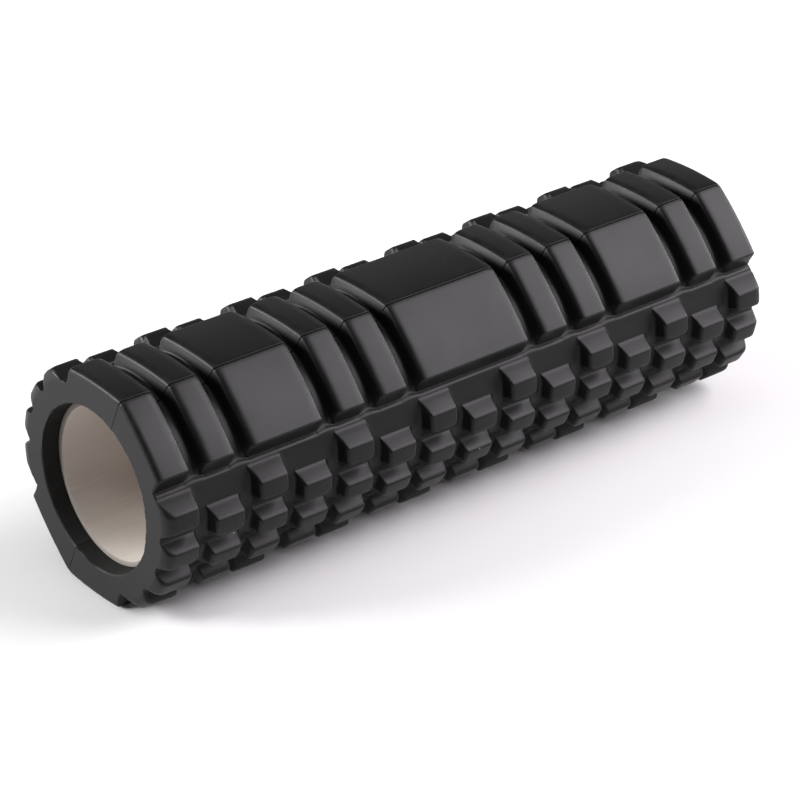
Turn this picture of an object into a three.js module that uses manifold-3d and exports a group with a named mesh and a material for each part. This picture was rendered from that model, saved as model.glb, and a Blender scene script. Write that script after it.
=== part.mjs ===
// Foam roller: two identical moulded foam half-sleeves around a plain plastic core tube.
//
// Millimetres, +Z up. X is the roller's axis and the origin is its middle, on the axis. The roller
// lies on one of its four gently crowned facets, so the seam ridges are turned REST_ANGLE from upright.
//
// Each half-sleeve is a half-round web. It carries half of two ribbed panels, which meet the other
// half-sleeve's along the seam ridges, and a zone of knobs between them. The mould opens square to
// the seams, so every wall of a knob leans away from that direction by the mould's draft.

import * as THREE from 'three';
import { ConvexGeometry } from 'three/addons/geometries/ConvexGeometry.js';
import { mergeVertices } from 'three/addons/utils/BufferGeometryUtils.js';
import Module from 'manifold-3d';

// Overall
const LENGTH = 300;
const FACET_RADIUS = 46.2;       // from the axis to the middle of a facet, where the roller rests
const FACET_ARC_RADIUS = 138;    // how gently a facet is crowned
const REST_ANGLE = 24;           // from a seam ridge to the middle of the facet beside it
const REST_FLAT = 11.2;          // degrees of the facet that lie flat on the floor

// Foam
const GROOVE_DEPTH = 5.5;        // from the middle of a facet down to the web's surface
const WEB_THICKNESS = 7.7;
const SEAM_GAP = 0.3;            // between the two half-sleeves
const END_BEVEL = 1.8;           // at both ends of the panels and the knobs
const ROOT = 1;                  // how far ribs and knobs are sunk into the web

// Columns of ribs and knobs along the axis
const COLUMN_COUNT = 15;
const COLUMN_FOOT_WIDTH = 15.6;

// Ribs and wide blocks of the panels
const BLOCKS = [[0, 0], [1, 1], [2, 3], [4, 4], [5, 5], [6, 8], [9, 9], [10, 10], [11, 12], [13, 13], [14, 14]];
const RIB_TOP_WIDTH = 12.6;
const RIB_DRAFT = 1.5;           // how much wider a rib is at its foot, on each side
const PANEL_EDGE_ANGLE = 38.8;   // from the seam ridge to the panel's edge
const PANEL_FOOT_ANGLE = 45;     // from the seam ridge to the foot of the panel's edge

// Knobs
const KNOB_ROWS = [4, 3];        // in even and in odd columns
const KNOB_MIDDLE_ANGLE = 90;    // from the upper seam ridge: the way the mould opens
const KNOB_PITCH_ANGLE = 19.2;
const KNOB_FLOOR_HEIGHT = 1.2;   // above the web: the grooves of the panels are deeper
const KNOB_HEIGHT = 5.7;         // outer face above the knobs' floor
const KNOB_TOP_WIDTH = 12.8;
const KNOB_TOP_ANGLE = 9.6;      // covered by the outer face
const KNOB_DRAFT = 10;           // degrees between a knob's upper or lower wall and the mould's way

// Core tube
const TUBE_WALL = 2.2;
const TUBE_CLEARANCE = 0.3;      // to the foam's bore
const TUBE_RECESS = 7.1;         // from the foam's ends

// Roundness of the web, the bore and the tube
const ROUND_SEGMENTS = 60;

const webRadius = FACET_RADIUS - GROOVE_DEPTH;
const boreRadius = webRadius - WEB_THICKNESS;
const tubeRadius = boreRadius - TUBE_CLEARANCE;
const columnPitch = (LENGTH - COLUMN_FOOT_WIDTH) / (COLUMN_COUNT - 1);
const endX = LENGTH / 2;
const roots = webRadius - ROOT;
const knobRadius = webRadius + KNOB_FLOOR_HEIGHT + KNOB_HEIGHT;

const wasm = await Module();
wasm.setup();

// A closed geometry as a solid that can be joined and cut.
function toSolid(geometry) {
  const bare = geometry.index ? geometry.toNonIndexed() : geometry.clone();
  bare.deleteAttribute('normal');
  bare.deleteAttribute('uv');
  const merged = mergeVertices(bare, 1e-4);
  return new wasm.Manifold(new wasm.Mesh({
    numProp: 3,
    vertProperties: new Float32Array(merged.attributes.position.array),
    triVerts: new Uint32Array(merged.index.array),
  }));
}

// A solid as a geometry for a mesh.
function toGeometry(solid) {
  const mesh = solid.getMesh();
  const geometry = new THREE.BufferGeometry();
  geometry.setAttribute('position', new THREE.BufferAttribute(new Float32Array(mesh.vertProperties), 3));
  geometry.setIndex(new THREE.BufferAttribute(new Uint32Array(mesh.triVerts), 1));
  geometry.computeVertexNormals();
  return geometry;
}

// A point at a place along the axis, at a distance from it and at an angle from the upper ridge.
function polar(x, radius, angle) {
  const turn = THREE.MathUtils.degToRad(angle);
  return new THREE.Vector3(x, -radius * Math.sin(turn), radius * Math.cos(turn));
}

// The distance from the axis to a facet: an arc whose middle, at REST_ANGLE, is nearest to the axis.
function facetRadius(angle) {
  const turn = THREE.MathUtils.degToRad(angle - REST_ANGLE);
  const offset = FACET_ARC_RADIUS - FACET_RADIUS;
  const reach = Math.sqrt(FACET_ARC_RADIUS ** 2 - (offset * Math.sin(turn)) ** 2);
  return reach - offset * Math.cos(turn);
}

// An outline in the plane of Y and Z, carried along X.
function alongAxis(outline, length) {
  const bar = new THREE.ExtrudeGeometry(outline, {
    depth: length, bevelEnabled: false, curveSegments: ROUND_SEGMENTS / 2,
  });
  const alongX = new THREE.Matrix4().makeBasis(
    new THREE.Vector3(0, 1, 0), new THREE.Vector3(0, 0, 1), new THREE.Vector3(1, 0, 0));
  bar.applyMatrix4(alongX);
  bar.translate(-length / 2, 0, 0);
  return bar;
}

// A round bar along X, or a tube where it has a bore.
function roundBar(radius, length, bore = 0) {
  const outline = new THREE.Shape();
  outline.absarc(0, 0, radius, 0, 2 * Math.PI);
  if (bore > 0) {
    const hole = new THREE.Path();
    hole.absarc(0, 0, bore, 0, 2 * Math.PI);
    outline.holes.push(hole);
  }
  return alongAxis(outline, length);
}

// The raised floor of the knobs: a sector of a bar, from one panel's foot to the other's.
function knobFloor() {
  const outline = new THREE.Shape();
  const start = THREE.MathUtils.degToRad(90 + PANEL_FOOT_ANGLE);
  const end = THREE.MathUtils.degToRad(270 - PANEL_FOOT_ANGLE);
  outline.moveTo(0, 0);
  outline.absarc(0, 0, webRadius + KNOB_FLOOR_HEIGHT, start, end);
  outline.closePath();
  return alongAxis(outline, LENGTH);
}

// The two ends, along X, of a feature over one or more columns. The outer columns reach the end planes.
function span(first, last, width) {
  const low = (first - (COLUMN_COUNT - 1) / 2) * columnPitch - width / 2;
  const high = (last - (COLUMN_COUNT - 1) / 2) * columnPitch + width / 2;
  return [first === 0 ? -endX : low, last === COLUMN_COUNT - 1 ? endX : high];
}

// Points across the top of a feature, at one angle, with the bevel where it reaches an end plane.
function topPoints(radius, angle, ends) {
  return ends.flatMap((x) => {
    if (Math.abs(x) < endX) return [polar(x, radius, angle)];
    const inner = Math.sign(x) * (endX - END_BEVEL);
    return [polar(inner, radius, angle), polar(x, radius - END_BEVEL, angle)];
  });
}

// Points across the foot of a feature, just inside the web, at one angle.
function footPoints(angle, ends) {
  return ends.map((x) => polar(x, roots, angle));
}

// One panel's half of a rib or a wide block. The turn function places it at the panel's own ridge.
function block(first, last, turn) {
  const restStart = REST_ANGLE - REST_FLAT / 2;
  const angles = [0, restStart / 2, restStart, REST_ANGLE + REST_FLAT / 2, PANEL_EDGE_ANGLE];
  const top = span(first, last, RIB_TOP_WIDTH);
  const foot = span(first, last, RIB_TOP_WIDTH + 2 * RIB_DRAFT);
  const points = angles.flatMap((angle) => [
    ...topPoints(facetRadius(angle), turn(angle), top),
    ...footPoints(turn(angle), foot),
  ]);
  points.push(...footPoints(turn(PANEL_FOOT_ANGLE), foot));
  return toSolid(new ConvexGeometry(points));
}

// The angle where a knob's upper wall, which passes through its outer face's edge, meets a radius.
// The wall is a plane whose normal is KNOB_DRAFT from the seam plane, so radius * cos(angle - draft)
// is the same all the way down it.
function wallAngle(edge, radius) {
  const draft = THREE.MathUtils.degToRad(KNOB_DRAFT);
  const reach = knobRadius * Math.cos(THREE.MathUtils.degToRad(edge) - draft);
  return THREE.MathUtils.radToDeg(draft + Math.acos(reach / radius));
}

// One knob: an outer face between an upper and a lower wall, which mirror each other.
function knob(column, middle) {
  const top = span(column, column, KNOB_TOP_WIDTH);
  const foot = span(column, column, COLUMN_FOOT_WIDTH);
  const upperEdge = middle - KNOB_TOP_ANGLE / 2;
  const lowerEdge = middle + KNOB_TOP_ANGLE / 2;
  const points = [
    ...topPoints(knobRadius, upperEdge, top),
    ...topPoints(knobRadius, lowerEdge, top),
    ...footPoints(wallAngle(upperEdge, roots), foot),
    ...footPoints(180 - wallAngle(180 - lowerEdge, roots), foot),
  ];
  return toSolid(new ConvexGeometry(points));
}

// All the ribs, wide blocks and knobs of one half-sleeve. The knobs of odd columns sit between the
// rows of the even ones.
function features() {
  const upper = (angle) => angle;
  const lower = (angle) => 180 - angle;
  const solids = BLOCKS.flatMap(([first, last]) => [block(first, last, upper), block(first, last, lower)]);
  for (let column = 0; column < COLUMN_COUNT; column += 1) {
    const rows = KNOB_ROWS[column % 2];
    for (let row = 0; row < rows; row += 1) {
      solids.push(knob(column, KNOB_MIDDLE_ANGLE + (row - (rows - 1) / 2) * KNOB_PITCH_ANGLE));
    }
  }
  return solids;
}

// The half of space that one half-sleeve fills, up to its side of the seams.
function seamSide() {
  const reach = 2 * facetRadius(0);
  const box = new THREE.BoxGeometry(2 * LENGTH, reach, 2 * reach);
  box.translate(0, -(reach + SEAM_GAP) / 2, 0);
  return toSolid(box);
}

// One half-sleeve: web and features joined, then bored and trimmed at the seams.
function halfSleeve() {
  const web = toSolid(roundBar(webRadius, LENGTH)).add(toSolid(knobFloor()));
  const bore = toSolid(roundBar(boreRadius, 2 * LENGTH));
  const moulded = features().reduce((whole, solid) => whole.add(solid), web);
  return toGeometry(moulded.subtract(bore).intersect(seamSide()));
}

const foam = { color: 0x1d1e20, roughness: 0.55, metalness: 0 };
const plastic = { color: 0xbdb6ab, roughness: 0.45, metalness: 0 };

const sleeve = halfSleeve();
const front = new THREE.Mesh(sleeve, new THREE.MeshStandardMaterial(foam));
front.name = 'sleeve_half_front';

const rear = new THREE.Mesh(sleeve, new THREE.MeshStandardMaterial(foam));
rear.name = 'sleeve_half_rear';
rear.rotation.x = Math.PI;

const tube = new THREE.Mesh(
  roundBar(tubeRadius, LENGTH - 2 * TUBE_RECESS, tubeRadius - TUBE_WALL),
  new THREE.MeshStandardMaterial(plastic));
tube.name = 'core_tube';

const roller = new THREE.Group();
roller.add(front, rear, tube);
roller.rotation.x = THREE.MathUtils.degToRad(REST_ANGLE);

export default roller;
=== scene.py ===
# %% [markdown]
# # A hollow foam roller
#
# A massage roller is three pieces: a thin plastic tube, and two halves of a black foam sleeve glued
# around it. Both halves come out of one mould, so the second is the first turned half a turn about
# the axis. This lesson builds the sleeve as one surface worked out with numpy, the tube as a turned
# profile, and their finishes as node materials.
#
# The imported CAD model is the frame. It says where the roller lies and how large it is.

# %% Load the frame
import math

import bpy
import numpy as np
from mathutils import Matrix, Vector


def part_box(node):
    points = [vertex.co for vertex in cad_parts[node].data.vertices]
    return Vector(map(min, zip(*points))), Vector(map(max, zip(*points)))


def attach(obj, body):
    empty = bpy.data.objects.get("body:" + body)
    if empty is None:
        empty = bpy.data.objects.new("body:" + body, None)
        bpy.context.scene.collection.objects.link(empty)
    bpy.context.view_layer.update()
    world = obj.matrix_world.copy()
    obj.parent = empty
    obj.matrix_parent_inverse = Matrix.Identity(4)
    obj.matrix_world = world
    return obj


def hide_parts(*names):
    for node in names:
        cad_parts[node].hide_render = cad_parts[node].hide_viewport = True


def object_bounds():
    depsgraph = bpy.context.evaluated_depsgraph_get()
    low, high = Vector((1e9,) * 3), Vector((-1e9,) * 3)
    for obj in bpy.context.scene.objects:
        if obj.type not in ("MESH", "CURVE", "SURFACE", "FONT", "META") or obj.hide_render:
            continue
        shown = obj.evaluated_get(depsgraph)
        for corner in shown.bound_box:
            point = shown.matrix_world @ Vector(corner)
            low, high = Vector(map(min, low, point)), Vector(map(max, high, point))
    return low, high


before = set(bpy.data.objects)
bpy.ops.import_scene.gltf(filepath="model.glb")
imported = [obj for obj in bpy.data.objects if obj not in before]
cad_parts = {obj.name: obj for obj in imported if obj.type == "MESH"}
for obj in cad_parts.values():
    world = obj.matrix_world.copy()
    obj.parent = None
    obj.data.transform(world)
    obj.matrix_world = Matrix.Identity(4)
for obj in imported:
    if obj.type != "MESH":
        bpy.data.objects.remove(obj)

cad_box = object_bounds()
MM = 0.001
print("CAD nodes:", len(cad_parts))
print("CAD box, mm:", [[round(v / MM, 1) for v in corner] for corner in cad_box])

# %% [markdown]
# ## Sizes
#
# The length, the height and the tube come from the frame. What the frame's boxes can't say, such as
# the depth of the grooves, is a driving size of the mould and is named here, in millimetres and
# degrees. Angles are counted from the upper seam ridge, towards the front.

# %% Driving sizes
END_X = cad_box[1].x / MM
FACET_RADIUS = 46.2
FACET_ARC_RADIUS = 138.0
REST_ANGLE = 24.0
GROOVE_DEPTH = 5.5
WEB_RADIUS = FACET_RADIUS - GROOVE_DEPTH

tube_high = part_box("core_tube")[1]
TUBE_RADIUS = tube_high.z / MM
TUBE_END_X = tube_high.x / MM
GLUE_GAP = 0.25
BORE_RADIUS = TUBE_RADIUS + GLUE_GAP

COLUMNS = 15
COLUMN_FOOT_WIDTH = 15.6
COLUMN_PITCH = (2 * END_X - COLUMN_FOOT_WIDTH) / (COLUMNS - 1)
print("column pitch, mm:", round(COLUMN_PITCH, 2), "bore radius, mm:", round(BORE_RADIUS, 2))

# %% [markdown]
# ## Soft corners
#
# Moulded foam has no sharp corners. Every outline below is built from straight stretches that are
# blended where they meet. One function does it: a ramp that is flat, then rises, with a short
# parabola in between. Sums of ramps give any outline, and the smaller of two heights follows from
# the same ramp.

# %% Soft ramp and the smaller of two heights
def soft_ramp(distance, soft):
    """Zero up to -soft, the distance itself past soft, and (distance + soft)^2 / (4 soft) between."""
    bend = (distance + soft) ** 2 / (4 * soft)
    return np.where(distance < -soft, 0.0, np.where(distance > soft, distance, bend))


def soft_smaller(first, second, soft):
    """The smaller of two heights, blended where they differ by less than soft."""
    return first - soft_ramp(first - second, soft)


# %% [markdown]
# ## Around the roller
#
# Going round half of the sleeve from one seam to the other, there is a facet of the first panel, a
# zone of knobs, and a facet of the second panel, which is the first one mirrored. A facet is an arc
# that is much flatter than the roller is round, so its middle is nearest to the axis and the seam
# ridge stands highest.
#
# The mould opens square to the seams, so the upper and lower walls of every knob lean 10 degrees
# away from that one direction. That is why the knobs near the panels have long sloping walls, and
# those in the middle have steep ones. A least width is kept for every wall, which leaves room for
# its soft corners. The floor between the knobs is a step higher than the grooves of the panels, and
# the step is nearer to the seam in a groove than under a rib.

# %% Heights around the roller
PANEL_EDGE = 39.4
PANEL_FOOT = 45.0
PANEL_SOFT = (0.8, 2.0)
PANEL_SOFT_FOOT = 0.6
KNOB_ROWS = (4, 3)
KNOB_PITCH_TURN = 19.2
KNOB_FLOOR = 1.2
KNOB_HEIGHT = 5.7
KNOB_TOP_TURN = 9.0
KNOB_DRAFT = 10.0
KNOB_STEEPEST = 2.8
KNOB_SOFTS = (1.2, 1.0, 1.5, 1.2)
SOFT_SHARE = 0.48
FLOOR_TURN = 1.5
FLOOR_AT_COLUMN = 45.9
FLOOR_AT_FOOT = 45.6
FLOOR_AT_GROOVE = 44.4
RIDGE_TURN = 2.2
RIDGE_DROP = 0.3


def facet_height(turn):
    """Height above the web of an arc whose centre lies beyond the axis.

    With c the distance from the arc's centre to the axis, a point at angle t from the arc's middle
    is sqrt(arc^2 - (c sin t)^2) - c cos t from the axis. A short parabola rounds the ridge."""
    centre = FACET_ARC_RADIUS - FACET_RADIUS
    angle = np.radians(turn - REST_ANGLE)
    reach = np.sqrt(FACET_ARC_RADIUS**2 - (centre * np.sin(angle)) ** 2)
    ridge = RIDGE_DROP * np.clip(1 - turn / RIDGE_TURN, 0, 1) ** 2
    return reach - centre * np.cos(angle) - ridge - WEB_RADIUS


def panel_height(turn, soft):
    """The facet, cut down by a straight wall from its edge to its foot, and then the web."""
    slope = facet_height(PANEL_EDGE) / (PANEL_FOOT - PANEL_EDGE)
    wall = slope * (PANEL_FOOT - turn)
    top = soft_smaller(facet_height(np.minimum(turn, PANEL_FOOT + 2)), wall, soft)
    return soft_ramp(top, PANEL_SOFT_FOOT)


def floor_height(turn, middle):
    """The floor between the knobs: a smooth step up, because the panels' grooves are deeper."""
    inside = np.minimum(turn, 180 - turn) - middle
    share = np.clip(0.5 + inside / (2 * FLOOR_TURN), 0, 1)
    return KNOB_FLOOR * share**2 * (3 - 2 * share)


def wall_foot(edge):
    """Where a knob's upper wall meets the floor, in degrees.

    The wall is a plane, so radius * cos(turn - draft) is the same at its top and at its foot."""
    floor_radius = WEB_RADIUS + KNOB_FLOOR
    reach = (floor_radius + KNOB_HEIGHT) * math.cos(math.radians(edge - KNOB_DRAFT))
    return KNOB_DRAFT + math.degrees(math.acos(reach / floor_radius))


def knob_stops(middle):
    """Foot, edge, edge and foot of a knob, in degrees. Its lower wall mirrors its upper wall."""
    upper, lower = middle - KNOB_TOP_TURN / 2, middle + KNOB_TOP_TURN / 2
    upper_foot = min(wall_foot(upper), upper - KNOB_STEEPEST)
    lower_foot = max(180 - wall_foot(180 - lower), lower + KNOB_STEEPEST)
    return np.array([upper_foot, upper, lower, lower_foot])


def knob_middles(parity):
    """The middles of the knobs of an even (0) or odd (1) column, in degrees."""
    rows = KNOB_ROWS[parity]
    return 90 + (np.arange(rows) - (rows - 1) / 2) * KNOB_PITCH_TURN


def knob_height(turn, middle):
    """A trapezium as a sum of soft ramps, one for each change of slope.

    A blend takes up less than half of the wall it sits on, so neighbouring blends never meet."""
    stops = knob_stops(middle)
    slopes = np.diff([0, KNOB_HEIGHT, KNOB_HEIGHT, 0]) / np.diff(stops)
    changes = np.diff(slopes, prepend=0, append=0)
    softs = np.minimum(KNOB_SOFTS, SOFT_SHARE * np.diff(stops)[[0, 0, 2, 2]])
    return sum(change * soft_ramp(turn - stop, soft) for change, stop, soft in zip(changes, stops, softs))


def column_height(turn, parity):
    """Height above the web along the middle of an even (0) or odd (1) column."""
    panels = np.maximum(panel_height(turn, PANEL_SOFT[0]), panel_height(180 - turn, PANEL_SOFT[1]))
    knobs = np.max([knob_height(turn, middle) for middle in knob_middles(parity)], axis=0)
    return np.maximum(panels, floor_height(turn, FLOOR_AT_COLUMN)) + knobs


# %% [markdown]
# The surface is a grid, and its lines around the roller have to be close together where the shape
# turns: at the seams, at the panels' edges, and at every edge and foot of a knob. A density that has
# a hump at each of those angles is added up, and the lines are put at equal steps of the sum.

# %% Angles of the grid's lines
SEAM_GAP = 0.3
SEAM_ROUND = 0.22
SEAM_STEPS = (0, 0.12, 0.35, 0.65, 1)
BUSY_START = PANEL_EDGE - 1.8
BUSY_LINES = 276
FINE_STEPS = 6000
FLAT_LINES = 10
HUMP_WIDTH = 0.8
HUMP_HEIGHT = 3.0
RIDGE_TURNS = (0.7, 1.3, 2.0, 3.0, 4.5)


def busy_lines():
    """Angles from one panel's edge to the other's, at equal steps of 1 plus a Gaussian at each stop."""
    panels = [PANEL_EDGE, PANEL_FOOT, 180 - PANEL_FOOT, 180 - PANEL_EDGE]
    knobs = [knob_stops(middle) for parity in (0, 1) for middle in knob_middles(parity)]
    stops = np.concatenate([panels, *knobs])
    fine = np.linspace(BUSY_START, 180 - BUSY_START, FINE_STEPS)
    density = 1 + HUMP_HEIGHT * np.exp(-((fine[:, None] - stops) / HUMP_WIDTH) ** 2).max(axis=1)
    total = np.cumsum(density)
    return np.interp(np.linspace(total[0], total[-1], BUSY_LINES), total, fine)


seam_start = math.degrees(SEAM_GAP / 2 / FACET_RADIUS)
seam_turns = seam_start + np.degrees(SEAM_ROUND * np.array(SEAM_STEPS) / FACET_RADIUS)
flat_turns = np.linspace(RIDGE_TURNS[-1], BUSY_START, FLAT_LINES + 2)[1:-1]
half_turns = np.concatenate([seam_turns, RIDGE_TURNS, flat_turns])
TURNS = np.concatenate([half_turns, busy_lines(), 180 - half_turns[::-1]])
IN_PANEL = np.minimum(TURNS, 180 - TURNS) < FLOOR_AT_COLUMN + FLOOR_TURN
print("lines around half of the sleeve:", len(TURNS))

# %% [markdown]
# ## Along the roller
#
# Along the axis the sleeve is fifteen columns with a groove between them. In the panels some grooves
# are left out, so a few columns join into one wide block. A column's section is a trapezium with
# drafted walls, or the mould could not open, and both corners of its wall are rounded by a
# quadratic curve, (1-b)^2 A + 2b(1-b) corner + b^2 B.

# %% Sections across the columns
BLOCKS = ((0, 0), (1, 1), (2, 3), (4, 4), (5, 5), (6, 8), (9, 9), (10, 10), (11, 12), (13, 13), (14, 14))
OPEN_GROOVES = {last for first, last in BLOCKS}
RIB_HALF = 6.3
OPEN_HALF = 7.4
FOOT_HALF = 7.8
KNOB_TOP_HALF = 6.4
KNOB_LOW_HALF = 7.25
KNOB_FOOT_HALF = 7.5
KNOB_CORNER = 2.6
KNOB_CORNER_TURN = 3.2
KNOB_CORNER_REACH = 0.93
RIB_ROUND = 3.6
KNOB_ROUND = 1.15
WALL_ROUND = 1.5
FOOT_ROUND = 1.2
ROUND_SHARE = 0.45
ROUND_RATIO = 2.5
LEAST_DRAFT = 0.2
CORNER_STEPS = (0, 0.2, 0.45, 0.7, 1)
FOOT_STEPS = (0, 0.5, 1)
END_ROUND_LOW = 0.5
END_ROUND_START = 0.4
END_STEPS = (0.1, 0.5, 1)
END_ROUND_RIB = (3.0, 1.9)
END_ROUND_KNOB = (4.6, 5.4)
RIB_CORNER = 2.6
RIB_CORNER_TURN = 4.5
END_DEPTH = 1.2


def knob_corner(parity):
    """How much a knob's outer face narrows towards its lower edge, in mm: a quarter of a circle."""
    narrowing = 0 * TURNS
    for middle in knob_middles(parity):
        start = middle + KNOB_TOP_TURN / 2 - KNOB_CORNER_TURN
        share = np.clip((TURNS - start) / KNOB_CORNER_TURN, 0, KNOB_CORNER_REACH)
        share = np.where(TURNS < middle + KNOB_PITCH_TURN / 2, share, 0)
        narrowing = narrowing + KNOB_CORNER * (1 - np.sqrt(1 - share**2))
    return narrowing


def rib_corner():
    """How much a rib narrows towards the foot of its panel, in mm: a quarter of a circle again."""
    start = PANEL_FOOT - RIB_CORNER_TURN
    share = np.clip((np.minimum(TURNS, 180 - TURNS) - start) / RIB_CORNER_TURN, 0, KNOB_CORNER_REACH)
    return RIB_CORNER * (1 - np.sqrt(1 - share**2))


def top_half_width(parity, height):
    """Half the width of a column's top: ribs, then knobs that narrow as they rise."""
    mirrored = np.minimum(TURNS, 180 - TURNS)
    ribs = np.interp(mirrored, [PANEL_EDGE, PANEL_FOOT], [RIB_HALF, OPEN_HALF]) - rib_corner()
    raised = np.clip((height - KNOB_FLOOR) / KNOB_HEIGHT, 0, 1)
    knobs = KNOB_LOW_HALF + (KNOB_TOP_HALF - KNOB_LOW_HALF - knob_corner(parity)) * raised
    return np.where(IN_PANEL, ribs, knobs)


def rounded(corner, before, after, shares):
    """Points of the quadratic curve that rounds a corner, for each share b from 0 to 1."""
    return [(1 - b) ** 2 * before + 2 * b * (1 - b) * corner + b**2 * after for b in shares]


def side_lines(height, top, at_end, grooved):
    """Lines from beside a column's centre out to the foot of its wall: offset and height by angle.

    At the roller's end the wall is the end face itself, and only its upper corner is rounded, by
    more the higher it stands. On a rib's side the curve reaches further in than it does down."""
    nought = 0 * height
    inward = np.array([nought - 1, nought])
    top_reach = np.where(IN_PANEL, RIB_ROUND, KNOB_ROUND)
    if at_end:
        end = END_X - (COLUMNS - 1) / 2 * COLUMN_PITCH
        upper = np.array([end + nought, height])
        largest = np.where(IN_PANEL, np.array(END_ROUND_RIB)[:, None], np.array(END_ROUND_KNOB)[:, None])
        share = np.clip(height / largest[1] - END_ROUND_START, 0, 1)
        across, reach = END_ROUND_LOW + (largest - END_ROUND_LOW) * share
        down = np.array([nought, nought - 1])
        lines = rounded(upper, upper + inward * across, upper + down * reach, CORNER_STEPS)
        rest = height - reach + END_DEPTH
        lines += [upper + down * (reach + share * rest) for share in END_STEPS]
        return np.array(lines)
    level = floor_height(TURNS, FLOOR_AT_FOOT)
    foot = np.where(IN_PANEL, np.maximum(FOOT_HALF - rib_corner(), top + LEAST_DRAFT), KNOB_FOOT_HALF)
    upper = np.array([top, height])
    lower = np.array([foot, level])
    onward = np.array([nought + 1, nought])
    length = np.hypot(*(lower - upper))
    along = (lower - upper) / length
    wall_reach = np.minimum(WALL_ROUND, ROUND_SHARE * length)
    top_reach = np.minimum(top_reach, ROUND_RATIO * wall_reach)
    foot_reach = np.minimum(FOOT_ROUND, ROUND_SHARE * length)
    lines = rounded(upper, upper + inward * top_reach, upper + along * wall_reach, CORNER_STEPS)
    lines += rounded(lower, lower - along * foot_reach, lower + onward * FOOT_ROUND, FOOT_STEPS)
    lines = np.array(lines)
    if not grooved:
        lines[:, 1] = np.where(IN_PANEL, height, lines[:, 1])
    return lines


# %% [markdown]
# The lines of all columns, side by side, are the outside. Eight more lines bring the section round
# the two cut ends and back along the bore, so the section is a closed loop at every angle. The
# foam's rim at the bore is cut with a knife, and it wanders a little. The edges of ribs and knobs
# are marked, so that the foam material makes them smoother, as wear does, and lighter grey, which
# is partly wear and partly a painted highlight.

# %% The closed section at every angle
RIM_CHAMFER = 0.55
RIM_DEPTH = 0.8
END_INSET = 0.3
EDGE_SHARES = (0, 0.7, 1, 0.7, 0, 0, 0, 0)
EDGE_FADE = 2.0
CENTRE_LINE = len(EDGE_SHARES)
LINES_PER_COLUMN = 2 * len(EDGE_SHARES) + 2


def edge_shares(radii):
    """How near each point of the loop is to a raised edge, 0 to 1, for wear and a painted highlight."""
    raised = np.clip((radii - WEB_RADIUS - KNOB_FLOOR) / EDGE_FADE, 0, 1)
    shares = np.zeros(radii.shape)
    for column in range(COLUMNS):
        left_open = column == 0 or (column - 1) in OPEN_GROOVES
        for side, grooved in ((-1, left_open), (1, column in OPEN_GROOVES)):
            lines = column * LINES_PER_COLUMN + CENTRE_LINE + side * (1 + np.arange(len(EDGE_SHARES)))
            edges = np.array(EDGE_SHARES)[:, None] * raised[lines]
            shares[lines] = edges if grooved else np.where(IN_PANEL, 0, edges)
    return shares


def sleeve_section():
    """Place along X and distance from the axis, in mm, of every line of the loop at every angle."""
    outside = []
    for column in range(COLUMNS):
        parity = column % 2
        centre = (column - (COLUMNS - 1) / 2) * COLUMN_PITCH
        height = column_height(TURNS, parity)
        top = top_half_width(parity, height)
        left = side_lines(height, top, column == 0, (column - 1) in OPEN_GROOVES)
        right = side_lines(height, top, column == COLUMNS - 1, column in OPEN_GROOVES)
        left = left[::-1] * np.array([-1, 1])[None, :, None]
        middle = np.array([[0 * height, height]])
        lines = np.concatenate([left, middle, right])
        lines[:, 0] += centre
        outside.append(lines)
        if column < COLUMNS - 1:
            level = floor_height(TURNS, FLOOR_AT_GROOVE)
            level = level if column in OPEN_GROOVES else np.where(IN_PANEL, height, level)
            outside.append(np.array([[centre + COLUMN_PITCH / 2 + 0 * height, level]]))
    outside = np.concatenate(outside)
    return outside[:, 0], outside[:, 1] + WEB_RADIUS


def rim_wander(phase):
    """How far the knife strays along the bore's rim, in mm: slow waves and quick ones."""
    waves = ((3, 0.12), (7, 0.11), (17, 0.10), (43, 0.09), (89, 0.07))
    return sum(size * np.sin(np.radians(TURNS) * count + phase * count) for count, size in waves)


def seam_rounding(radius):
    """How much the edge along a seam is rounded off: a quarter circle of radius SEAM_ROUND."""
    beside = np.radians(np.minimum(TURNS, 180 - TURNS) - seam_start) * radius
    share = 1 - np.clip(beside / SEAM_ROUND, 0, 1)
    return SEAM_ROUND * (1 - np.sqrt(1 - share**2))


def end_and_bore(outer, rim):
    """Four lines from an end's outer edge to the bore: places along X and distances from the axis."""
    end = np.full(len(TURNS), END_X)
    bore = np.full(len(TURNS), BORE_RADIUS)
    return [(end, outer - END_INSET), (end, rim + END_INSET), (end, rim), (end - RIM_DEPTH, bore)]


def sleeve_loop(phase):
    """The outside and the eight lines of the ends and the bore, as places and radii."""
    places, radii = sleeve_section()
    radii = radii - seam_rounding(radii)
    rim = BORE_RADIUS + RIM_CHAMFER + rim_wander(phase)
    right = end_and_bore(radii[-1], rim)
    left = [(-place, radius) for place, radius in end_and_bore(radii[0], rim)]
    ring = right + left[::-1]
    places = np.concatenate([places, [place for place, radius in ring]])
    radii = np.concatenate([radii, [radius for place, radius in ring]])
    return places, radii


# %% [markdown]
# The loop is carried round from seam to seam. Each pair of neighbouring lines and angles makes a
# four-sided face, and each end of the sweep, at a seam, is closed by one flat face. The order of a
# face's corners says which side is out.

# %% Sweep the section into a mesh
SHARP_ANGLE = 60
RIM_PHASES = (0.4, 1.9)


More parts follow.
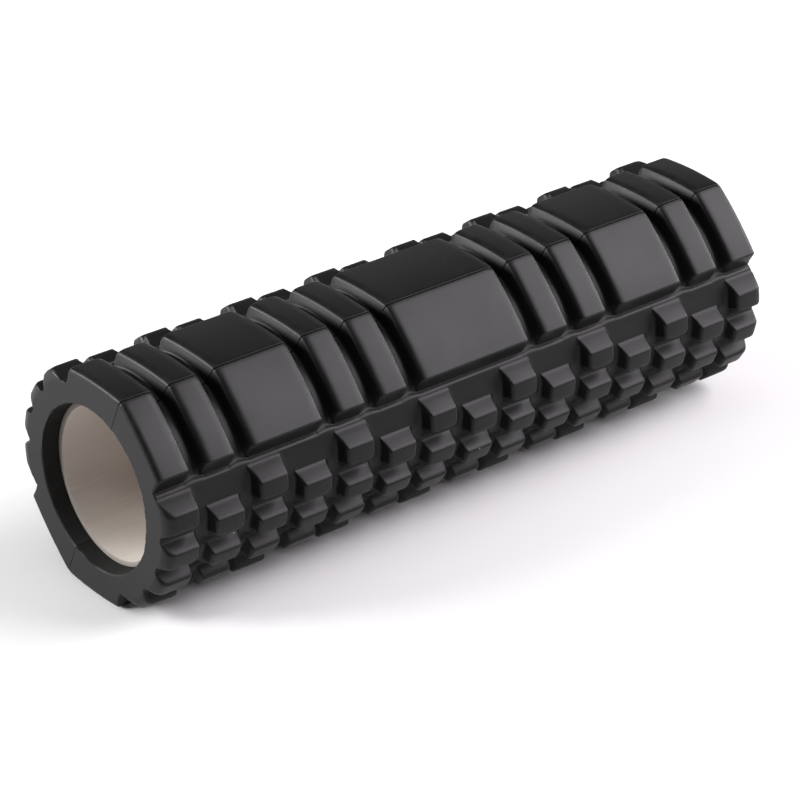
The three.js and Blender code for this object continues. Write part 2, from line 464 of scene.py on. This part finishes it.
def make_mesh(name, points, faces, caps=()):
    """A mesh from points in mm, an array of four-cornered faces and any flat many-cornered caps."""
    mesh = bpy.data.meshes.new(name)
    sizes = np.concatenate([np.full(len(faces), 4), [len(cap) for cap in caps]]).astype(np.int32)
    corners = np.concatenate([faces.ravel(), *caps]).astype(np.int32)
    mesh.vertices.add(len(points))
    mesh.vertices.foreach_set("co", (points * MM).astype(np.float32).ravel())
    mesh.loops.add(len(corners))
    mesh.loops.foreach_set("vertex_index", corners)
    mesh.polygons.add(len(sizes))
    mesh.polygons.foreach_set("loop_start", np.cumsum(sizes, dtype=np.int32) - sizes)
    mesh.polygons.foreach_set("use_smooth", np.ones(len(sizes), bool))
    mesh.update(calc_edges=True)
    mesh.validate()
    mesh.set_sharp_from_angle(angle=math.radians(SHARP_ANGLE))
    piece = bpy.data.objects.new(name, mesh)
    bpy.context.scene.collection.objects.link(piece)
    return piece


def swept(places, radii, turns):
    """Points at a distance from the axis and at an angle from upright, towards the front."""
    angles = np.radians(turns)[None, :]
    return np.stack([places, -radii * np.sin(angles), radii * np.cos(angles)], axis=-1)


def sweep_faces(lines, steps, closed_round):
    """Faces of a closed loop of lines, carried through a number of steps."""
    line = np.arange(lines)[:, None]
    step = np.arange(steps if closed_round else steps - 1)[None, :]
    next_line, next_step = (line + 1) % lines, (step + 1) % steps
    corners = [line * steps + step, line * steps + next_step,
               next_line * steps + next_step, next_line * steps + step]
    return np.stack(np.broadcast_arrays(*corners), axis=-1).reshape(-1, 4)


def sleeve_half(name, node, turn, phase):
    """One half-sleeve, turned about the axis, standing for its CAD node."""
    places, radii = sleeve_loop(phase)
    lines, steps = places.shape
    points = swept(places, radii, TURNS + turn).reshape(-1, 3)
    first_cap = np.arange(lines) * steps
    caps = (first_cap, first_cap[::-1] + steps - 1)
    piece = make_mesh(name, points, sweep_faces(lines, steps, False), caps)
    edge = piece.data.attributes.new("edge", "FLOAT", "POINT")
    edge.data.foreach_set("value", edge_shares(radii).astype(np.float32).ravel())
    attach(piece, "root")
    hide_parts(node)
    print(name, "faces:", len(piece.data.polygons))
    return piece


# %% Both halves of the sleeve
sleeve_front = sleeve_half("foam_sleeve_front", "sleeve_half_front", REST_ANGLE, RIM_PHASES[0])
sleeve_rear = sleeve_half("foam_sleeve_rear", "sleeve_half_rear", REST_ANGLE + 180, RIM_PHASES[1])

# %% [markdown]
# ## The core tube
#
# The tube is cut from extruded pipe. Its section is a thin rectangle with eased corners, turned
# once round the axis, and the cut ends sit a little inside the foam.

# %% Turn the tube
TUBE_WALL = 2.2
TUBE_EASE = 0.35
TUBE_STEPS = 240
EASE_POINTS = 4


def core_tube():
    """A closed ring section, whose four corners are quarter circles, turned round the axis."""
    arc = np.linspace(0, math.pi / 2, EASE_POINTS)
    mid_radius = TUBE_RADIUS - TUBE_WALL / 2
    flat_x, flat_r = TUBE_END_X - TUBE_EASE, TUBE_WALL / 2 - TUBE_EASE
    along, out = TUBE_EASE * np.sin(arc), TUBE_EASE * np.cos(arc)
    places = np.concatenate([flat_x + along, flat_x + along[::-1], -flat_x - along, -flat_x - along[::-1]])
    offsets = np.concatenate([flat_r + out, -flat_r - out[::-1], -flat_r - out, flat_r + out[::-1]])
    turns = np.arange(TUBE_STEPS) * 360 / TUBE_STEPS
    shape = (len(places), TUBE_STEPS)
    points = swept(np.broadcast_to(places[:, None], shape),
                   np.broadcast_to(mid_radius + offsets[:, None], shape), turns)
    piece = make_mesh("core_pipe", points.reshape(-1, 3), sweep_faces(len(places), TUBE_STEPS, True))
    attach(piece, "root")
    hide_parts("core_tube")
    print("core pipe faces:", len(piece.data.polygons))
    return piece


tube = core_tube()

# %% [markdown]
# ## Writing a material as sums
#
# A node tree is easier to read as arithmetic. This class wraps one output socket, so that + - * and
# ** on it add Math nodes, and one method adds any other node.

# %% Sockets as values
class Value:
    """An output socket that can be used in Python expressions."""

    def __init__(self, tree, socket):
        """Keep the socket, and the tree in which new nodes are made."""
        self.tree, self.socket = tree, socket

    def node(self, kind, settings=None, output=0, **inputs):
        """A node of a kind, with its settings first and then its inputs, by name or by _number."""
        made = self.tree.nodes.new("ShaderNode" + kind)
        for name, value in (settings or {}).items():
            setattr(made, name, value)
        for name, value in inputs.items():
            key = int(name[1:]) if name[0] == "_" else name.replace("_", " ")
            if isinstance(value, Value):
                self.tree.links.new(value.socket, made.inputs[key])
            else:
                made.inputs[key].default_value = value
        return Value(self.tree, made.outputs[output])

    def maths(self, operation, first, second=0.0):
        """A Math node on two values or numbers."""
        return self.node("Math", {"operation": operation}, _0=first, _1=second)

    def __add__(self, other):
        return self.maths("ADD", self, other)

    def __sub__(self, other):
        return self.maths("SUBTRACT", self, other)

    def __rsub__(self, other):
        return self.maths("SUBTRACT", other, self)

    def __mul__(self, other):
        return self.maths("MULTIPLY", self, other)

    def __pow__(self, other):
        return self.maths("POWER", self, other)

    __radd__, __rmul__ = __add__, __mul__

    def between(self, low, high):
        """0 below low, 1 above high, and a smooth step between."""
        smooth = {"interpolation_type": "SMOOTHSTEP"}
        return self.node("MapRange", smooth, Value=self, From_Min=low, From_Max=high)


def blend(value, share, first, second):
    """A colour mixed from two, by a share from 0 to 1. Any value of the tree can make the node."""
    return value.node("Mix", {"data_type": "RGBA"}, output=2, Factor=share, _6=first, _7=second)


def new_material(name):
    """An empty node material: its shader node and a Value of the Object coordinates."""
    material = bpy.data.materials.new(name)
    material.use_nodes = True
    tree = material.node_tree
    shader = next(node for node in tree.nodes if node.type == "BSDF_PRINCIPLED")
    place = Value(tree, tree.nodes.new("ShaderNodeTexCoord").outputs["Object"])
    return material, shader, place


def mesh_attribute(place, name):
    """The number that a mesh attribute holds at each point."""
    return place.node("Attribute", {"attribute_name": name}, output=2)


# %% [markdown]
# ## Foam
#
# Moulded foam has a closed, satin skin: black, with a fine grain, a slight orange peel from the
# mould, and patches that are a little more or less glossy. Raised edges are smoother from wear, and
# lighter grey, which is partly wear and partly a painted highlight. Raised edges are rubbed smoother and
# greyer. The two ends and the bore are cut, not moulded, so they are matt and show the foam's cells.
# A few specks of lint stick to any black foam. The cut faces are found by where they are, and the
# edges by the attribute that was stored with the mesh.

# %% Foam material
FOAM_BLACK = (0.0032, 0.0031, 0.0034, 1)
FOAM_PATCH = (0.0050, 0.0047, 0.0047, 1)
# Raised edges are painted this lighter grey: partly wear, partly a painted highlight along them.
FOAM_WORN_HIGHLIGHT = (0.0120, 0.0118, 0.0120, 1)
FOAM_CUT = (0.0145, 0.0137, 0.0141, 1)
FOAM_BORE = (0.0060, 0.0056, 0.0052, 1)
LINT = (0.55, 0.54, 0.53, 1)
GRAIN_SCALE = 2200.0
PEEL_SCALE = 420.0
PATCH_SCALE = 38.0
WEAR_HIGHLIGHT_SCALE = 160.0
CELL_SCALE = 1500.0
LINT_SCALE = 70.0
LINT_SHARE = (0.84, 0.85)
LINT_DOT = (0.007, 0.018)
END_BAND = (0.12, 0.02)
BORE_BAND = (0.3, 0.55)
SKIN_ROUGH = 0.38
CUT_ROUGH = 0.62
BORE_ROUGH = 0.78
FOAM_SPECULAR = 0.21
BUMP_STRENGTH = 0.22
BUMP_DEPTH = 0.00008


def lint_specks(place):
    """1 on a few dots: cells of a Voronoi pattern have one dot each, and most cells are left out."""
    cells = {"feature": "F1", "distance": "EUCLIDEAN"}
    distance = place.node("TexVoronoi", cells, Vector=place, Scale=LINT_SCALE)
    choice = place.node("TexVoronoi", cells, output=1, Vector=place, Scale=LINT_SCALE)
    chosen = choice.node("SeparateColor", _0=choice).between(*LINT_SHARE)
    return chosen * (1 - distance.between(*LINT_DOT))


def foam_material():
    """Skin, edges with wear and a painted highlight, cut ends, bore and lint, one over the other."""
    material, shader, place = new_material("black_moulded_foam")
    tree = material.node_tree
    parts = [place.node("SeparateXYZ", output=axis, Vector=place) for axis in (0, 1, 2)]
    end_face = parts[0].maths("ABSOLUTE", parts[0])
    end_face = end_face.between((END_X - END_BAND[0]) * MM, (END_X - END_BAND[1]) * MM)
    radius = (parts[1] * parts[1] + parts[2] * parts[2]) ** 0.5
    bore = 1 - radius.between((BORE_RADIUS + BORE_BAND[0]) * MM, (BORE_RADIUS + BORE_BAND[1]) * MM)
    worn_highlight_edges = mesh_attribute(place, "edge")

    grain = place.node("TexNoise", Vector=place, Scale=GRAIN_SCALE, Detail=3.0, Roughness=0.6)
    peel = place.node("TexNoise", Vector=place, Scale=PEEL_SCALE, Detail=2.0, Roughness=0.5)
    patch = place.node("TexNoise", Vector=place, Scale=PATCH_SCALE, Detail=4.0, Roughness=0.6)
    patch = patch.between(0.3, 0.7)
    wear_highlight_patches = place.node("TexNoise", Vector=place, Scale=WEAR_HIGHLIGHT_SCALE, Detail=4.0, Roughness=0.7)
    wear_highlight_patches = wear_highlight_patches.between(0.35, 0.75)
    cells = place.node("TexVoronoi", {"feature": "F1"}, Vector=place, Scale=CELL_SCALE)
    cut = end_face * (1 - bore)

    colour = blend(place, patch, FOAM_BLACK, FOAM_PATCH)
    # Painted highlight: raised edges are blended towards a lighter grey, which is partly wear as well.
    colour = blend(place, worn_highlight_edges * wear_highlight_patches * 0.8, colour, FOAM_WORN_HIGHLIGHT)
    colour = blend(place, cut * (0.75 + 0.25 * peel), colour, FOAM_CUT)
    colour = blend(place, bore, colour, FOAM_BORE)
    colour = blend(place, lint_specks(place), colour, LINT)
    tree.links.new(colour.socket, shader.inputs["Base Color"])

    moulded = SKIN_ROUGH + 0.05 * patch + 0.06 * grain - 0.04 * worn_highlight_edges * wear_highlight_patches
    rough = moulded + (CUT_ROUGH - moulded) * cut
    rough = rough + (BORE_ROUGH - rough) * bore
    tree.links.new(rough.socket, shader.inputs["Roughness"])

    relief = grain * 0.35 + peel * 0.65 + cells * cut * 1.2
    bump = place.node("Bump", Strength=BUMP_STRENGTH, Distance=BUMP_DEPTH, Height=relief)
    tree.links.new(bump.socket, shader.inputs["Normal"])
    shader.inputs["Specular IOR Level"].default_value = FOAM_SPECULAR
    return material


foam = foam_material()
for piece in (sleeve_front, sleeve_rear):
    piece.data.materials.append(foam)
print("foam material nodes:", len(foam.node_tree.nodes))

# %% [markdown]
# ## Core plastic
#
# The pipe is warm grey and slightly shiny. Extrusion draws faint lines along it, so its noise is
# stretched along the axis. The sawn ends are rougher and darker.

# %% Core plastic material
PIPE_LIGHT = (0.505, 0.455, 0.415, 1)
PIPE_DARK = (0.47, 0.42, 0.38, 1)
PIPE_SAWN = (0.22, 0.20, 0.18, 1)
LINE_STRETCH = (0.02, 1.0, 1.0)
LINE_SCALE = 900.0
CLOUD_SCALE = 40.0
SAWN_BAND = (0.3, 0.1)
PIPE_ROUGH = 0.42
PIPE_SPECULAR = 0.35
LINE_STRENGTH = 0.15
LINE_DEPTH = 0.00005


def plastic_material():
    """Extrusion lines from a noise that is stretched along X, and rougher, darker sawn ends."""
    material, shader, place = new_material("warm_grey_pipe")
    tree = material.node_tree
    stretched = place.node("Mapping", Vector=place, Scale=LINE_STRETCH)
    lines = place.node("TexNoise", Vector=stretched, Scale=LINE_SCALE, Detail=3.0, Roughness=0.5)
    cloud = place.node("TexNoise", Vector=place, Scale=CLOUD_SCALE, Detail=4.0, Roughness=0.6)
    along = place.node("SeparateXYZ", output=0, Vector=place)
    sawn = along.maths("ABSOLUTE", along)
    sawn = sawn.between((TUBE_END_X - SAWN_BAND[0]) * MM, (TUBE_END_X - SAWN_BAND[1]) * MM)
    shade = (0.6 * lines + 0.4 * cloud).between(0.35, 0.65)
    colour = blend(place, shade, PIPE_DARK, PIPE_LIGHT)
    colour = blend(place, sawn, colour, PIPE_SAWN)
    tree.links.new(colour.socket, shader.inputs["Base Color"])
    rough = PIPE_ROUGH + 0.12 * cloud + 0.25 * sawn
    tree.links.new(rough.socket, shader.inputs["Roughness"])
    bump = place.node("Bump", Strength=LINE_STRENGTH, Distance=LINE_DEPTH, Height=lines)
    tree.links.new(bump.socket, shader.inputs["Normal"])
    shader.inputs["Specular IOR Level"].default_value = PIPE_SPECULAR
    return material


plastic = plastic_material()
tube.data.materials.append(plastic)
print("plastic material nodes:", len(plastic.node_tree.nodes))

# %% [markdown]
# ## Floor
#
# The roller lies on a plain pale floor, which is one matt square just under its lowest facet.

# %% Floor
FLOOR_HALF = 1.2
FLOOR_CLEAR = 0.0001
FLOOR_COLOUR = (0.74, 0.74, 0.74, 1)
FLOOR_ROUGH = 0.8


def floor():
    """A flat square, a hair below the facet that the roller rests on."""
    half = FLOOR_HALF
    level = -FACET_RADIUS * MM - FLOOR_CLEAR
    mesh = bpy.data.meshes.new("studio_floor")
    corners = [(-half, -half, level), (half, -half, level), (half, half, level), (-half, half, level)]
    mesh.from_pydata(corners, [], [(0, 1, 2, 3)])
    piece = bpy.data.objects.new("studio_floor", mesh)
    bpy.context.scene.collection.objects.link(piece)
    material = bpy.data.materials.new("pale_floor")
    material.use_nodes = True
    shader = material.node_tree.nodes["Principled BSDF"]
    shader.inputs["Base Color"].default_value = FLOOR_COLOUR
    shader.inputs["Roughness"].default_value = FLOOR_ROUGH
    mesh.materials.append(material)


floor()
print("floor, m:", 2 * FLOOR_HALF, "square")

# %% [markdown]
# ## Light
#
# Black foam shows its shape mostly by what it reflects. A large box in front and to the right is the
# main light. A smaller one stands at the right and two behind, at the right and at the left, with a
# small box beyond the left end for the core tube and a weak wide one overhead. They all face the
# middle of the roller.

# %% Lights
def softbox(name, direction, distance, size, watts, colour=(1, 1, 1)):
    """A rectangular area light at a distance in a direction, facing the roller's middle."""
    light = bpy.data.lights.new(name, "AREA")
    light.shape = "RECTANGLE"
    light.size, light.size_y = size
    light.energy = watts
    light.color = colour
    lamp = bpy.data.objects.new(name, light)
    bpy.context.scene.collection.objects.link(lamp)
    towards = Vector(direction).normalized()
    lamp.location = towards * distance
    lamp.rotation_euler = towards.to_track_quat("Z", "Y").to_euler()


softbox("front_right_box", (0.58, -0.48, 0.62), 1.6, (1.4, 1.2), 44, (1.0, 0.955, 1.0))
softbox("right_strip", (0.96, -0.12, 0.20), 1.7, (0.7, 0.35), 10)
softbox("back_right_box", (0.60, 0.74, 0.34), 2.0, (1.4, 0.8), 2)
softbox("back_left_box", (-0.62, 0.68, 0.34), 1.8, (0.9, 0.5), 29)
softbox("tube_box", (-0.90, 0.34, 0.42), 1.6, (0.4, 0.4), 20)
softbox("overhead", (-0.1, 0.1, 1.0), 2.4, (1.6, 1.6), 10)
print("lights:", len(bpy.data.lights))

# %% [markdown]
# The room gives almost no light of its own, so the grooves stay dark. Its wall would then be dark
# too, so it is white only where the camera looks straight at it.

# %% Light from all round
WORLD_LIGHT = 0.045
WORLD_SEEN = 1.0


def studio_world():
    """A faint light from all round. The wall of the studio itself, where it is seen, is white."""
    world = bpy.data.worlds.new("studio")
    world.use_nodes = True
    tree = world.node_tree
    seen = Value(tree, tree.nodes.new("ShaderNodeLightPath").outputs["Is Camera Ray"])
    strength = WORLD_LIGHT + (WORLD_SEEN - WORLD_LIGHT) * seen
    background = tree.nodes["Background"]
    background.inputs["Color"].default_value = (1, 1, 1, 1)
    tree.links.new(strength.socket, background.inputs["Strength"])
    bpy.context.scene.world = world
    bpy.context.scene.view_settings.view_transform = "Standard"


studio_world()
print("light from all round:", WORLD_LIGHT, "wall as seen:", WORLD_SEEN)

# %% [markdown]
# ## Camera
#
# A long lens from the front left, a little above, shows the left end and the whole length. Its place
# is given by what it aims at, two angles and a distance.

# %% Camera
CAMERA_AIM = Vector((-5.57, -2.54, -10.40)) * MM
CAMERA_AZIMUTH = 39.58
CAMERA_ELEVATION = 27.91
CAMERA_DISTANCE = 1.2931
CAMERA_LENS = 147.85
CAMERA_SENSOR = 36


def camera():
    """The camera stands at an azimuth and an elevation from its aim, and looks back at it."""
    data = bpy.data.cameras.new("camera")
    data.lens = CAMERA_LENS
    data.sensor_width = CAMERA_SENSOR
    piece = bpy.data.objects.new("camera", data)
    bpy.context.scene.collection.objects.link(piece)
    azimuth, elevation = math.radians(CAMERA_AZIMUTH), math.radians(CAMERA_ELEVATION)
    back = Vector((-math.sin(azimuth) * math.cos(elevation), -math.cos(azimuth) * math.cos(elevation),
                   math.sin(elevation)))
    piece.location = CAMERA_AIM + back * CAMERA_DISTANCE
    piece.rotation_euler = back.to_track_quat("Z", "Y").to_euler()
    bpy.context.scene.camera = piece


camera()
print("camera lens, mm:", CAMERA_LENS)
